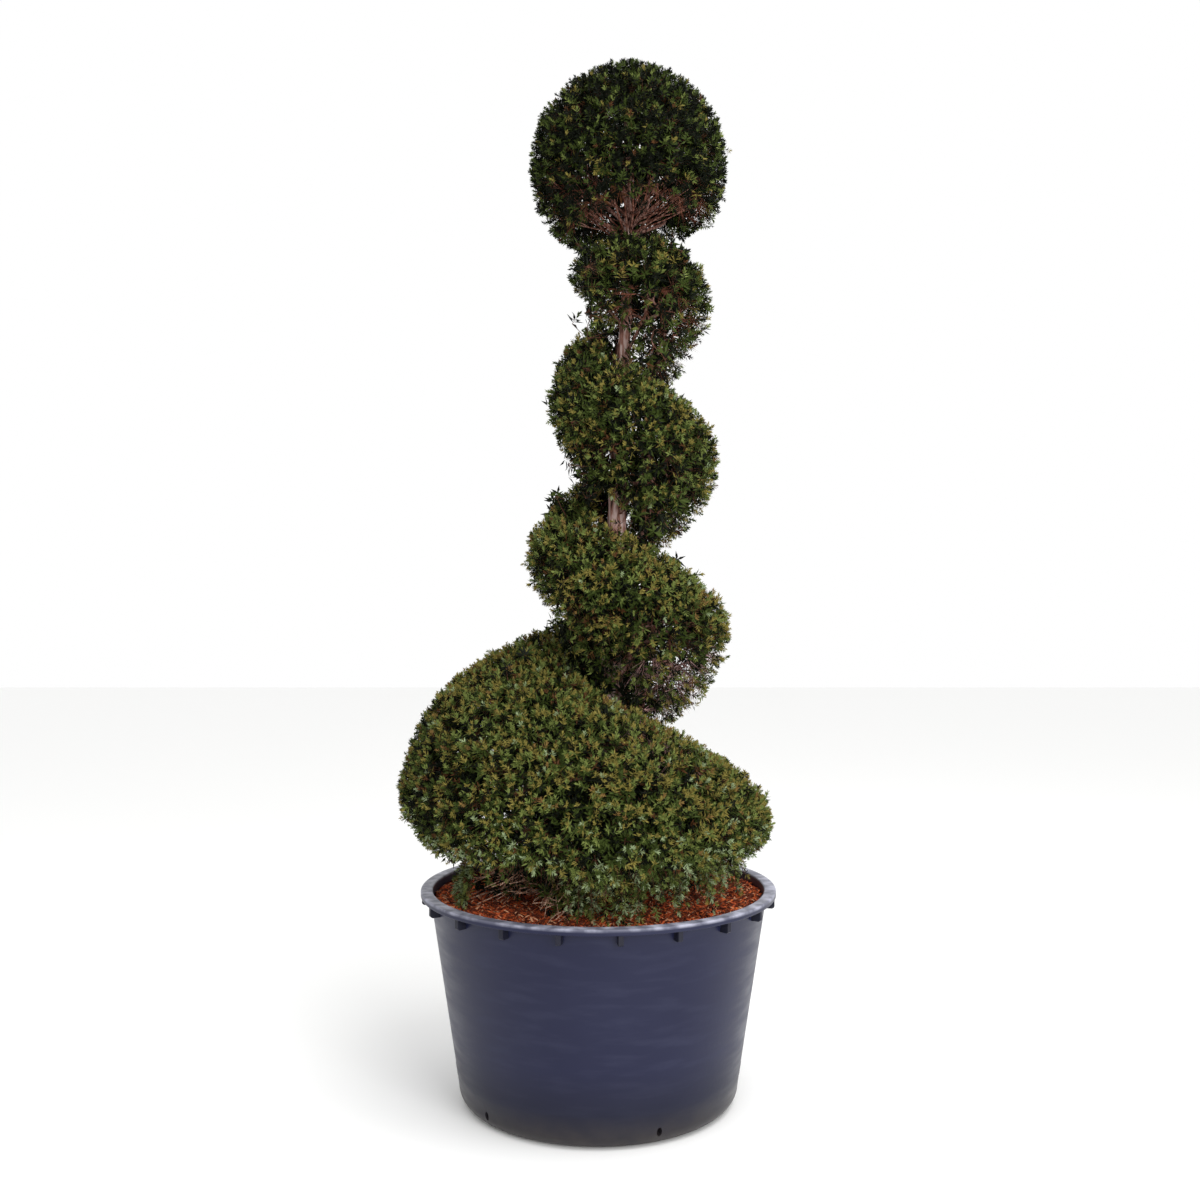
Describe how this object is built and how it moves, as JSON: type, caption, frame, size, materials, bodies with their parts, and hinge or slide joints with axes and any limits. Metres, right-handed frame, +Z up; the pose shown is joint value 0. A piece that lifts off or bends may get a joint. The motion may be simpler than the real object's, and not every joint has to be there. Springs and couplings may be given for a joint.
{
  "type": "spiral topiary",
  "caption": "Yew clipped into a spiral round its stem, with a ball on top and a broad domed base, growing in a round plastic nursery tub topped with bark mulch.",
  "frame": {"origin": "centre of the tub's flat underside, which stands on the ground", "axes": "+Z up along the stem, -Y towards the front, where the coils fall from upper left to lower right, +X to the right seen from the front"},
  "size_m": [0.9676, 0.9236, 2.632],
  "materials": {
    "tub": "satin moulded polyethylene, blue-black, lightly scuffed",
    "root_ball": "loose shredded bark mulch, matte, red-brown",
    "bark": "flaking thin bark, matte, pinkish grey-brown",
    "foliage": "dense clipped needles, satin, dark green with olive tips"
  },
  "bodies": {
    "root": {"tub": "tub", "root_ball": "root_ball", "stem": "bark", "foliage_ball": "foliage", "bough_ball_01": "bark", "bough_ball_02": "bark", "bough_ball_03": "bark", "bough_ball_04": "bark", "bough_ball_05": "bark", "bough_ball_06": "bark", "bough_ball_07": "bark", "bough_ball_08": "bark", "bough_ball_09": "bark", "bough_ball_10": "bark", "bough_coil_01": "bark", "bough_coil_02": "bark", "bough_coil_03": "bark", "bough_coil_04": "bark", "bough_coil_05": "bark", "bough_coil_06": "bark", "bough_coil_07": "bark", "bough_coil_08": "bark", "bough_coil_09": "bark", "bough_coil_10": "bark", "bough_coil_11": "bark", "bough_coil_12": "bark", "bough_base_01": "bark", "bough_base_02": "bark", "bough_base_03": "bark", "bough_base_04": "bark", "bough_base_05": "bark", "bough_base_06": "bark", "bough_base_07": "bark", "bough_base_08": "bark", "bough_base_09": "bark", "bough_base_10": "bark", "bough_base_11": "bark", "bough_base_12": "bark", "bough_base_13": "bark", "bough_base_14": "bark", "foliage_coil_01": "foliage", "foliage_coil_02": "foliage", "foliage_coil_03": "foliage", "foliage_coil_04": "foliage", "foliage_coil_05": "foliage", "foliage_coil_06": "foliage", "foliage_coil_07": "foliage", "foliage_coil_08": "foliage", "foliage_coil_09": "foliage", "foliage_coil_10": "foliage", "foliage_coil_11": "foliage", "foliage_coil_12": "foliage", "foliage_base_01": "foliage", "foliage_base_02": "foliage", "foliage_base_03": "foliage", "foliage_base_04": "foliage", "foliage_base_05": "foliage", "foliage_base_06": "foliage", "foliage_base_07": "foliage"}
  },
  "joints": []
}
